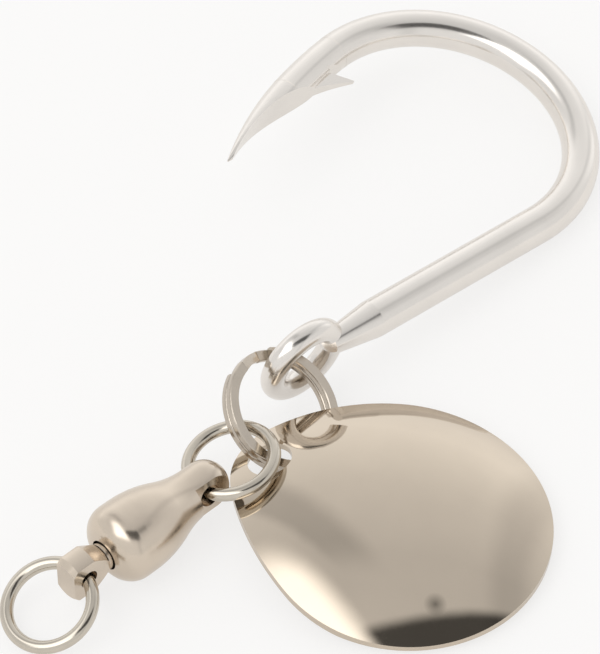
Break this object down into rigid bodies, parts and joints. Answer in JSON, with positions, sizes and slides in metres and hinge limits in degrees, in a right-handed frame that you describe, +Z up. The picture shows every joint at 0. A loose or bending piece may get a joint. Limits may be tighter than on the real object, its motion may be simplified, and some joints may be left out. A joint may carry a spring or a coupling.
{
  "type": "spinner hook rig",
  "caption": "Barbed round-bend hook, cupped spinner blade and ball-bearing swivel linked by a split ring, for tying to a fishing line.",
  "frame": {"origin": "middle of the footprint on the table the rig lies on", "axes": "+X from the line ring to the hook's bend, +Z up from the table, -Y to the side the blade lies on"},
  "size_m": [0.0904, 0.0626, 0.0109],
  "materials": {
    "hook_tin": "bright tinned steel wire",
    "split_ring_steel": "nickelled spring steel",
    "blade_nickel": "polished nickel plate on brass",
    "ring_steel": "polished stainless wire",
    "swivel_nickel": "satin nickel plate on brass",
    "bearing_steel": "hardened stainless steel"
  },
  "bodies": {
    "split_ring": {"split_ring": "split_ring_steel"},
    "hook": {"hook": "hook_tin"},
    "blade": {"blade": "blade_nickel"},
    "lure_ring": {"lure_ring": "ring_steel"},
    "barrel": {"swivel_barrel": "swivel_nickel", "bearing_race": "bearing_steel"},
    "stem": {"swivel_stem": "swivel_nickel"},
    "balls": {"bearing_ball_1": "bearing_steel", "bearing_ball_2": "bearing_steel", "bearing_ball_3": "bearing_steel", "bearing_ball_4": "bearing_steel", "bearing_ball_5": "bearing_steel", "bearing_ball_6": "bearing_steel", "bearing_ball_7": "bearing_steel", "bearing_ball_8": "bearing_steel", "bearing_ball_9": "bearing_steel", "bearing_ball_10": "bearing_steel"},
    "line_ring": {"line_ring": "ring_steel"}
  },
  "joints": [
    {"name": "hook_swing", "type": "hinge", "parent": "split_ring", "child": "hook", "pos_m": [-0.00445, 0.00226, 0.00508], "axis": [-0.3997, 0.6979, 0.5942], "range_deg": [-65, 40]},
    {"name": "blade_swing", "type": "hinge", "parent": "split_ring", "child": "blade", "pos_m": [-0.01431, -0.00332, 0.00337], "axis": [0.546, -0.6151, -0.5688], "range_deg": [0, 20]},
    {"name": "lure_ring_swing", "type": "hinge", "parent": "split_ring", "child": "lure_ring", "pos_m": [-0.01523, -0.00132, 0.00502], "axis": [0.1028, -0.7965, -0.5959], "range_deg": [-15, 8]},
    {"name": "barrel_swing", "type": "hinge", "parent": "lure_ring", "child": "barrel", "pos_m": [-0.02176, -0.00135, 0.00411], "axis": [0.0345, 0.9883, -0.1487], "range_deg": [-45, 80]},
    {"name": "swivel_spin", "type": "hinge", "parent": "barrel", "child": "stem", "pos_m": [-0.03375, -0.00093, 0.00411], "axis": [0.9994, -0.0349, 0], "continuous": true},
    {"name": "ball_orbit", "type": "hinge", "parent": "barrel", "child": "balls", "pos_m": [-0.03375, -0.00093, 0.00411], "axis": [0.9994, -0.0349, 0], "continuous": true},
    {"name": "line_ring_swing", "type": "hinge", "parent": "stem", "child": "line_ring", "pos_m": [-0.03665, -0.00083, 0.00411], "axis": [0.0349, 0.9994, 0], "range_deg": [-80, 80]}
  ],
  "couplings": [
    {"joint": "ball_orbit", "follows": "swivel_spin", "ratio": 0.5}
  ]
}
